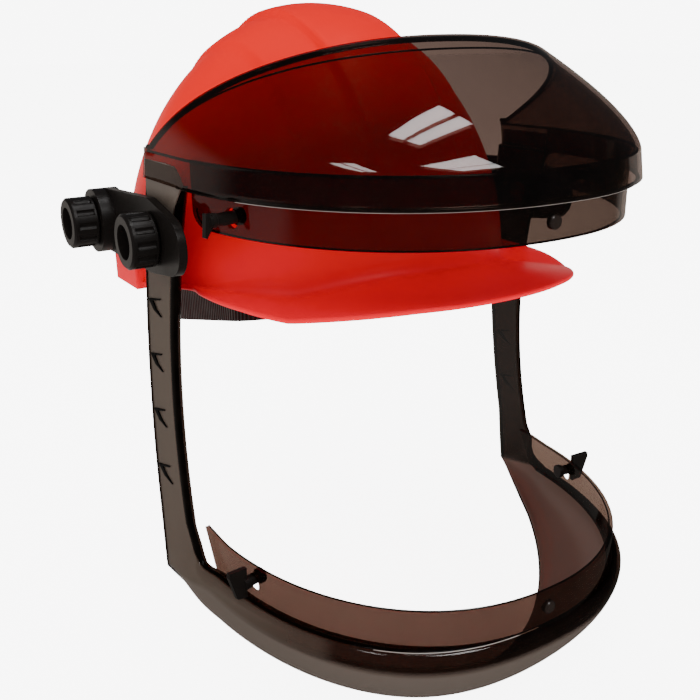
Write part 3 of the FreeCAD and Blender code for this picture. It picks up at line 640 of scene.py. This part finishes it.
def side_stations():
    """Stations of the left half, from the arm's top down round the corner to the chin's front.

    Each holds the section's top and rim, its outward direction, its lip, its share of the
    chin's rounded section and its share of the matt veil that paints the arms' reflected sheen.
    """
    arm_lip = np.array([-ARM_LIP[0], -ARM_LIP[1], 0.0])
    sideways = np.array([1.0, 0, 0])
    stations = []
    for i in range(46):
        z = ARM_TOP_Z - (ARM_TOP_Z - ARM_FOOT_Z) * i / 45
        back, front = arm_edges(z)
        stations.append((front, back, sideways, arm_lip, 0.0, 1.0))
    chin_top, chin_rim, chin_normal, chin_ledge = chin_ends(CHIN_END_ANGLE)
    back, front = arm_edges(ARM_FOOT_Z)
    corner = np.array(CORNER)
    fronts = catmull([front, *INNER_CORNER, chin_top], 27)
    backs = [back + (corner - back) * i / 13 for i in range(14)]
    for i in range(1, 14):
        sag = math.sin(math.pi * i / 13)
        backs.append(corner + (chin_rim - corner) * i / 13 + np.array([0.5 * sag, 0, -1.5 * sag]))
    for i in range(1, 27):
        w = smooth(i / 26, 0.25, 1.0)
        normal = sideways * (1 - w) + chin_normal * w
        normal /= np.linalg.norm(normal)
        lip = arm_lip * (1 - w) - chin_normal * chin_ledge * w
        stations.append((fronts[i], backs[i], normal, lip, w, 1.0))
    for i in range(1, 61):
        angle = CHIN_END_ANGLE * (1 - i / 60)
        top, rim, normal, ledge = chin_ends(angle)
        # share of the matt veil that paints the arms' reflected sheen, fading out towards the chin's front
        painted_veil = smooth(angle, 46.0, 51.0) * (0.45 + 0.55 * smooth(angle, 48.0, 79.0))
        stations.append((top, rim, normal, -normal * ledge, 1.0, painted_veil))
    return stations


def shell_row(station):
    """Section from the lip's inner edge, over the corner, down to the rim."""
    top, rim, normal, lip, w = station[:5]
    row = [top + lip, top + lip * 0.5, top + lip * 0.12]
    flat = np.array([rim[0] - top[0], rim[1] - top[1], 0.0])
    fall = rim[2] - top[2]
    for i in range(25):
        t = 0.02 + 0.98 * i / 24
        turn = math.pi / 2 * t
        across = 1 - max(math.cos(turn), 0) ** CHIN_CURVE
        down = math.sin(turn) ** CHIN_CURVE
        curved = (top + flat * across + normal * CHIN_BULGE * math.sin(2 * turn)
                  + np.array([0, 0, fall * down]))
        straight = top + (rim - top) * t
        row.append(curved * w + straight * (1 - w))
    return row


def build_arms_and_chin():
    """Both arms and the chin guard as one wall, from arm top round the chin to arm top."""
    half = side_stations()
    mirror = np.array([-1.0, 1.0, 1.0])
    other = [tuple(v * mirror for v in s[:4]) + s[4:] for s in half[:-1]]
    stations = half + other[::-1]
    rows = [shell_row(s) for s in stations]
    points, faces = grid(rows, flip=True)
    shell = new_object("arms_and_chin", points, faces, SMOKE_ARM, "face_frame",
                       ("right_arm", "left_arm", "chin_guard"))
    across = [k / len(rows[0]) for k in range(len(rows[0]))]
    # shares for the smoke's matt veils: the painted sheen, and the section that places the painted light on
    # the chin's lower wall
    zones = {
        "painted_sheen": [s[5] * (t > 0.1) for s in stations for t in across],
        "section": [s[4] * t for s in stations for t in across],
    }
    for name, values in zones.items():
        shell.data.attributes.new(name, "FLOAT", "POINT").data.foreach_set("value", values)
    thicken(shell, WALL, -1.0, inside=SMOKE_BACK)
    frame_bead("chin_rim_bead", [row[-1] for row in rows], 0.9, SMOKE_EDGE)
    strips = []
    for row, station in zip(rows, stations):
        reach = 1.0 - 0.55 * station[4]
        strips.append([row[2] + (row[0] - row[2]) * reach * k / 2 for k in (2, 1, 0)])
    points, faces = grid(strips, flip=True)
    lip = new_object("arm_lip_line", points, faces, SMOKE_LIP, "face_frame")
    thicken(lip, 0.5, 1.0)
    # painted highlight along the chin ledge's front edge
    glint = [t + np.array([0, 0, 0.5]) for t, _, n, *_ in stations if n[0] < 0 and -0.75 < n[0]]
    frame_bead("chin_ledge_glint", glint, 0.22, GLINT, sides=6)


def arm_painted_sheen_patches():
    """Flat grey-brown plate where each arm meets the visor's skirt, filleted into its front; it paints the
    reflected sheen of the arm's flat face.
    """
    for side, sign in SIDES:
        rings = []
        for out in (0.0, SHEEN_PATCH_RISE):
            skin = [max(arm_edges(z)[0][0], 130.0 * smooth(z, 80.0, 89.0)) for _, z in SHEEN_PATCH]
            rings.append([np.array([sign * (x + out), y, z]) for x, (y, z) in zip(skin, SHEEN_PATCH)])
        frame_prism(f"{side}_arm_painted_sheen_patch", rings, SHEEN_PATCH_PLASTIC)


def arm_notches():
    """Arrow-shaped ribs moulded on each arm's outer face, pointing back, in near-black that paints the shade
    on each notch's slanted wall.
    """
    for side, sign in SIDES:
        mirror = np.array([sign, 1, 1])
        for k, z in enumerate(NOTCH_Z):
            base = []
            for across, rise in NOTCH:
                back, front = arm_edges(z + rise)
                base.append(back + (front - back) * across)
            rings = [[(p + np.array([step, 0, 0])) * mirror for p in base]
                     for step in (NOTCH_DEPTH, NOTCH_RISE)]
            frame_prism(f"{side}_arm_notch_{k}", rings, NOTCH_SHADE)


# ------------------------------------------------------------ hard hat
def hat_plane(y):
    """Height of the shell's lower plane, which slopes down towards the back."""
    return HAT_Z + HAT_SLOPE * (y - HAT_Y)


def hat_drop(y):
    """How far the shell's lower edge swings below its plane, from the sides to the peak."""
    return float(np.interp(y, HAT_DROP_Y, HAT_DROP))


def hat_section(turn):
    """Closed section of the hat's shell in one direction round its crown."""
    d = np.array([math.sin(turn), -math.cos(turn), 0.0])
    wall = 1 / math.hypot(d[0] / HAT_A, d[1] / HAT_B)
    ring = wall + 2.0
    out = ring
    if d[1] < 0.35:
        peak = plan_reach(np.array([0.0, HAT_Y, 0.0]), d, *PEAK, far=260.0)
        out += (peak - ring) * smooth(peak - ring, -2.0, 6.0)
    plane = hat_plane(HAT_Y + d[1] * out) - hat_drop(HAT_Y + d[1] * out)
    fillet = min(max((out - wall - BRIM_T) * 0.35, 0.4), 10.0)
    crown = HAT_Z + HAT_C
    start = plane + BRIM_T + fillet
    row = []
    tilt_end = math.acos(min(max((start - plane) / (crown - plane), 0), 1))
    for i in range(70):
        tau = tilt_end * i / 69
        rho, h = math.sin(tau), math.cos(tau)
        row.append((wall * rho, plane + (crown - plane) * h, h))
    r_wall = row[-1][0]
    for i in range(1, 9):
        beta = math.pi / 2 * i / 8
        row.append((r_wall + fillet * (1 - math.cos(beta)), start - fillet * math.sin(beta), 0.0))
    flat = max(out - HAT_RIM_R - (r_wall + fillet), 0.05)
    droop = 0.06 * flat
    for i in range(1, 9):
        t = i / 8
        row.append((r_wall + fillet + flat * t, plane + BRIM_T - droop * t * t * 0.3, 0.0))
    for beta in (30, 60, 90, 120, 150):
        w = math.radians(beta)
        row.append((out - HAT_RIM_R + HAT_RIM_R * math.sin(w),
                    plane + HAT_RIM_R - droop * 0.3 + HAT_RIM_R * math.cos(w), 0.0))
    inner_r = wall - HAT_WALL
    for i in range(5):
        t = i / 4
        row.append((out - HAT_RIM_R + (inner_r - out + HAT_RIM_R) * t,
                    plane - droop * 0.3 * (1 - t), 0.0))
    for i in range(1, 31):
        tau = math.pi / 2 * (1 - i / 30)
        row.append((inner_r * math.sin(tau), plane + (crown - HAT_WALL - plane) * math.cos(tau), 0.0))
    points = []
    for r, z, h in row:
        p = np.array([d[0] * r, HAT_Y + d[1] * r, z])
        if h > 0:
            step = sum(rise * (1 - smooth(abs(p[0]), inner, outer)) for rise, inner, outer in RIDGES)
            fade = smooth(h, 0.18, 0.42)
            n = np.array([p[0] / HAT_A ** 2, (p[1] - HAT_Y) / HAT_B ** 2, (p[2] - plane) / HAT_C ** 2])
            n /= max(np.linalg.norm(n), 1e-9)
            p = p + n * step * fade
        points.append(p)
    return points


def build_hat():
    """Hat shell, and on each side the slotted lug that takes the shield's adapter."""
    count = 288
    rows = [hat_section(2 * math.pi * i / count) for i in range(count)]
    points, faces = grid(rows, wrap_u=True)
    hat = new_object("hat_skin", points, faces, HAT_RED, "hat", ("hat_shell",))
    mod = hat.modifiers.new("weld", "WELD")
    mod.merge_threshold = 0.00001
    bake(hat)
    for side, sign in SIDES:
        rims = []
        for (x0, x1), half in ((LUG_X, LUG_HALF), (SLOT_X, LUG_HALF - SLOT_END)):
            y0, y1 = CLAMP[0] - half, CLAMP[0] + half
            rims.append([(x0, y0), (x1, y0), (x1, y1), (x0, y1)])
        pts = [np.array([sign * x, y, z]) for rim in rims for z in LUG_Z for x, y in rim]
        faces = []
        for k in range(4):
            n = (k + 1) % 4
            faces.append((k, n, 4 + n, 4 + k))
            faces.append((8 + n, 8 + k, 12 + k, 12 + n))
            faces.append((4 + k, 4 + n, 12 + n, 12 + k))
            faces.append((n, k, 8 + k, 8 + n))
        lug = new_object(f"{side}_hat_lug", pts, faces, HAT_RED, "hat", smooth_shade=False)
        bevel = lug.modifiers.new("soft", "BEVEL")
        bevel.width = LUG_BEVEL * MM
        bevel.segments = 3


# ------------------------------------------------------------ suspension
def band_curve(grow, share):
    """Point on the headband's oval, share 0..1 round from the front towards the left."""
    a, b, r = BAND_A + grow, BAND_B + grow, BAND_R + grow
    dx, dy = a - r, b - r
    parts = [("line", dx), ("arc", 0), ("line", 2 * dy), ("arc", 1), ("line", 2 * dx),
             ("arc", 2), ("line", 2 * dy), ("arc", 3), ("line", dx)]
    lengths = [p[1] if p[0] == "line" else math.pi / 2 * r for p in parts]
    at = share * sum(lengths)
    index = 0
    while index < len(parts) - 1 and at > lengths[index]:
        at -= lengths[index]
        index += 1
    corners = [(dx, -dy), (dx, dy), (-dx, dy), (-dx, -dy)]
    starts = [(0, -b), None, (a, -dy), None, (dx, b), None, (-a, dy), None, (-dx, -b)]
    ways = [(1, 0), None, (0, 1), None, (-1, 0), None, (0, -1), None, (1, 0)]
    if parts[index][0] == "line":
        x, y = starts[index]
        return np.array([x + ways[index][0] * at, y + ways[index][1] * at, 0.0])
    k = parts[index][1]
    w = -math.pi / 2 + k * math.pi / 2 + at / r
    return np.array([corners[k][0] + r * math.cos(w), corners[k][1] + r * math.sin(w), 0.0])


def tilted(p):
    """Turns a point of the level headband into its tilted place."""
    w = math.radians(BAND_TILT)
    return np.array([p[0], p[1] * math.cos(w) - p[2] * math.sin(w), p[1] * math.sin(w) + p[2] * math.cos(w)])


def build_pad():
    """Soft brow pad: a crowned roll, stitched in short channels along its length."""
    rows = []
    count = 160
    for i in range(count + 1):
        share = (-PAD_SHARE + 2 * PAD_SHARE * i / count) % 1.0
        outer = band_curve(PAD_OUT, share)
        inner = band_curve(PAD_IN, share)
        middle = (outer + inner) / 2
        half = (outer - inner) / 2
        ends = math.sqrt(max(1 - (2 * i / count - 1) ** 8, 0.0)) * 0.93 + 0.07
        stitch = 0.86 + 0.14 * abs(math.sin(math.pi * i / 10)) ** 0.6
        row = []
        for k in range(20):
            w = 2 * math.pi * k / 20
            c = math.copysign(abs(math.cos(w)) ** 0.8, math.cos(w))
            sn = math.copysign(abs(math.sin(w)) ** 0.55, math.sin(w))
            puff = stitch if c < 0 else 1.0
            row.append(tilted(middle + half * c * puff * ends + np.array([0, 0, PAD_HALF * sn * ends])))
        rows.append(row)
    points, faces = grid(rows, wrap_v=True, cap=True)
    pad = new_object("brow_cushion", points, faces, PAD, "hat", ("brow_pad",))


def build_straps():
    """Two webbing straps crossing over the crown."""
    straps = (("crown_strap_lower", STRAP_TURN, 0.0), ("crown_strap_upper", -STRAP_TURN, STRAP_STEP))
    for name, turn, lift in straps:
        rows = []
        for i in range(73):
            w = math.radians(4 + 172 * i / 72)
            sag = 1.0 - 0.01 * math.sin(2 * w) ** 2
            along = STRAP_REACH * math.cos(w) * sag
            up = STRAP_FOOT_Z + (STRAP_RISE + lift) * math.sin(w)
            c, s = math.cos(math.radians(turn)), math.sin(math.radians(turn))
            row = []
            for k in range(9):
                v = STRAP_HALF * (k / 4 - 1)
                curl = 0.25 * math.cos(math.pi * v / (2 * STRAP_HALF)) * math.sin(5 * w)
                x = along + curl * math.cos(w)
                row.append(np.array([x * c - v * s, x * s + v * c, up + curl * math.sin(w)]))
            rows.append(row)
        points, faces = grid(rows, flip=True)
        strap = new_object(name + "_web", points, faces, WEB, "hat", (name,))
        thicken(strap, STRAP_T, 0.0)


# ------------------------------------------------------------ CAD finishes
def dress(node, material):
    """Gives a CAD node its material and crisp edges."""
    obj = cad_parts[node]
    for slot in obj.material_slots:
        slot.material = material
    if not obj.material_slots:
        obj.data.materials.append(material)
    by_angle(obj, 32)


FINISH = {
    "headband": BAND, "suspension_keys": KEY, "ratchet_housing": KEY, "ratchet_pinion": KEY,
    "ratchet_knob": BLACK, "top_centre_stud": STUD, "bottom_centre_stud": STUD,
}
SIDE_FINISH = {
    "band_tail": KEY, "slot_adapter": BLACK, "link_plate": BLACK, "clamp_knob": BLACK,
    "pivot_knob": BLACK, "clamp_bolt": STEEL, "pivot_bolt": STEEL, "friction_washer": RUBBER,
    "top_fastener": BLACK, "bottom_fastener": BLACK,
}
for side, _ in SIDES:
    FINISH.update({f"{side}_{part}": material for part, material in SIDE_FINISH.items()})
for node, material in FINISH.items():
    dress(node, material)


# ------------------------------------------------------------ build
build_visor()
flange_strip("top_flange_strip", TOP_A, TOP_B, *TOP_FLANGE, "top_window_flange", SMOKE_TOP_SHADED, corner=9.0)
flange_strip("bottom_flange_strip", LOW_A, LOW_B, *LOW_FLANGE, "bottom_window_flange", SMOKE_LOW, tip=3.5)
build_arms_and_chin()
arm_painted_sheen_patches()
arm_notches()
build_hat()
build_pad()
build_straps()


# ------------------------------------------------------------ stage, light, camera
def build_stage():
    """Plain pale floor.

    Where the camera sees it bare it is as bright as the white surround.  Other rays see it
    matt with a faint light of its own, and gloss sees a warm glow that grows with Y.
    """
    m = Mat("studio_floor")
    matt = m.node("ShaderNodeBsdfDiffuse")
    pale = m.mix_color(m.noise(3.0), rgb(0.91, 0.91, 0.91), rgb(0.94, 0.94, 0.94))
    m.link(pale, matt.inputs["Color"])
    path = m.node("ShaderNodeLightPath")
    bare = m.math("LESS_THAN", path.outputs["Transparent Depth"], 0.5)
    glow = m.node("ShaderNodeEmission")
    m.link(m.math("MULTIPLY", bare, SURROUND - 1.0), glow.inputs["Strength"])
    seen = m.node("ShaderNodeAddShader")
    m.link(matt.outputs[0], seen.inputs[0])
    m.link(glow.outputs[0], seen.inputs[1])
    lift = m.node("ShaderNodeEmission")
    lift.inputs["Strength"].default_value = 0.7
    lit = m.node("ShaderNodeAddShader")
    m.link(matt.outputs[0], lit.inputs[0])
    m.link(lift.outputs[0], lit.inputs[1])
    pick = m.node("ShaderNodeMixShader")
    m.link(path.outputs["Is Camera Ray"], pick.inputs[0])
    m.link(lit.outputs[0], pick.inputs[1])
    m.link(seen.outputs[0], pick.inputs[2])
    place = m.node("ShaderNodeSeparateXYZ")
    m.link(m.coord, place.inputs[0])
    sheen = m.node("ShaderNodeEmission")
    m.link(m.remap(place.outputs["Y"], 0.12, 0.9, -0.1, 0.15), sheen.inputs["Strength"])
    sheen.inputs["Color"].default_value = rgb(1.0, 0.92, 0.84)
    mirrored = m.node("ShaderNodeMixShader")
    m.link(path.outputs["Is Glossy Ray"], mirrored.inputs[0])
    m.link(pick.outputs[0], mirrored.inputs[1])
    m.link(sheen.outputs[0], mirrored.inputs[2])
    m.link(mirrored.outputs[0], m.out.inputs["Surface"])
    floor_z = CAD_BOX[0][2] - 0.001
    bpy.ops.mesh.primitive_plane_add(size=30, location=(0, 0, floor_z))
    floor = bpy.context.object
    floor.name = "floor"
    floor.data.materials.append(m.mat)


def area(name, place, target, size, power, mirrored=True):
    """Rectangular lamp; mirrored=False keeps its shape out of the reflections."""
    data = bpy.data.lights.new(name, "AREA")
    data.shape = "RECTANGLE"
    data.size, data.size_y = size
    data.energy = power
    obj = bpy.data.objects.new(name, data)
    obj.location = place
    obj.rotation_euler = (Vector(target) - Vector(place)).to_track_quat("-Z", "Y").to_euler()
    obj.visible_glossy = mirrored
    bpy.context.scene.collection.objects.link(obj)
    return obj


def ceiling_lamp(name, place, turn, power, width=0.13):
    """Pair of panels side by side in the ceiling, long side turned from the X axis.

    They show in the plastic's gloss and add nothing to the matt light.
    """
    along = Vector((math.cos(turn), math.sin(turn), 0))
    across = Vector((-math.sin(turn), math.cos(turn), 0))
    for k, way in (("a", -1), ("b", 1)):
        centre = Vector(place) + across * way * (width / 2 + LAMP_GAP / 2)
        lamp = area(f"{name}_{k}", centre, (0, 0, 0), (LAMP_LENGTH, width), power)
        turned = Matrix((along, -across, (0, 0, 1))).transposed().to_4x4()
        lamp.matrix_world = Matrix.Translation(centre) @ turned
        lamp.visible_diffuse = False


def build_world():
    """White surround: full strength where seen bare, soft as a light and in reflections."""
    world = bpy.data.worlds.new("studio")
    bpy.context.scene.world = world
    world.use_nodes = True
    tree = world.node_tree
    tree.nodes.clear()

    def node(kind, **values):
        n = tree.nodes.new(kind)
        for key, value in values.items():
            setattr(n, key, value)
        return n

    def backdrop(colour, strength):
        b = node("ShaderNodeBackground")
        b.inputs["Color"].default_value = colour
        b.inputs["Strength"].default_value = strength
        return b

    def mix(factor, a, b):
        n = node("ShaderNodeMixShader")
        tree.links.new(factor, n.inputs[0])
        tree.links.new(a.outputs[0], n.inputs[1])
        tree.links.new(b.outputs[0], n.inputs[2])
        return n

    path = node("ShaderNodeLightPath")
    veiled = node("ShaderNodeMath", operation="GREATER_THAN")
    tree.links.new(path.outputs["Transparent Depth"], veiled.inputs[0])
    veiled.inputs[1].default_value = 0.5
    seen = mix(veiled.outputs[0], backdrop((1, 1, 1, 1), SURROUND), backdrop((1, 1, 1, 1), 1.0))
    coord = node("ShaderNodeTexCoord")
    split = node("ShaderNodeSeparateXYZ")
    tree.links.new(coord.outputs["Generated"], split.inputs[0])

    def fade(axis, low, high):
        n = node("ShaderNodeMapRange", interpolation_type="SMOOTHSTEP")
        tree.links.new(split.outputs[axis], n.inputs["Value"])
        n.inputs["From Min"].default_value = low
        n.inputs["From Max"].default_value = high
        return n.outputs[0]

    behind_low = node("ShaderNodeMath", operation="MULTIPLY")
    tree.links.new(fade("Y", 0.45, 0.75), behind_low.inputs[0])
    tree.links.new(fade("Z", 0.25, 0.0), behind_low.inputs[1])
    mirror = mix(behind_low.outputs[0], backdrop((0.8, 0.9, 1, 1), 0.10), backdrop((1, 0.92, 0.84, 1), 0.9))
    unseen = mix(path.outputs["Is Glossy Ray"], backdrop((1, 1, 1, 1), 0.9), mirror)
    out = node("ShaderNodeOutputWorld")
    final = mix(path.outputs["Is Camera Ray"], unseen, seen)
    tree.links.new(final.outputs[0], out.inputs["Surface"])


def build_lights():
    """Three soft lamps that light the object, and ceiling lamps that it mirrors."""
    area("key", (-1.1, -1.3, 1.7), (0, -0.05, 0.05), (1.0, 0.8), 16, mirrored=False)
    area("top", (-0.2, 0.5, 2.2), (0, 0, 0), (1.6, 1.6), 16, mirrored=False)
    area("front", (0.4, -1.8, 0.3), (0, -0.05, 0.0), (1.2, 1.2), 6, mirrored=False)
    ceiling_lamp("lamp_over", (0.20, -0.25, 1.60), math.radians(22), 8.0)
    ceiling_lamp("lamp_front", (0.05, -1.40, 1.30), math.radians(20), 26.0, width=0.45)
    ceiling_lamp("lamp_left", (-1.20, -0.78, 1.10), math.radians(60), 6.0)


def build_camera():
    """Camera at the photograph's viewing angle."""
    data = bpy.data.cameras.new("camera")
    data.lens = CAMERA_LENS
    data.sensor_width = CAMERA_SENSOR
    data.clip_start = 0.01
    camera = bpy.data.objects.new("camera", data)
    back = Vector(CAMERA_BACK).normalized()
    right = Vector(CAMERA_RIGHT).normalized()
    up = back.cross(right).normalized()
    roll = math.radians(CAMERA_ROLL)
    rolled_right = right * math.cos(roll) + up * math.sin(roll)
    rolled_up = up * math.cos(roll) - right * math.sin(roll)
    turn = Matrix((rolled_right, rolled_up, back)).transposed().to_4x4()
    camera.matrix_world = Matrix.Translation(Vector(CAMERA_AT)) @ turn
    bpy.context.scene.collection.objects.link(camera)
    bpy.context.scene.camera = camera


build_stage()
build_world()
build_lights()
build_camera()
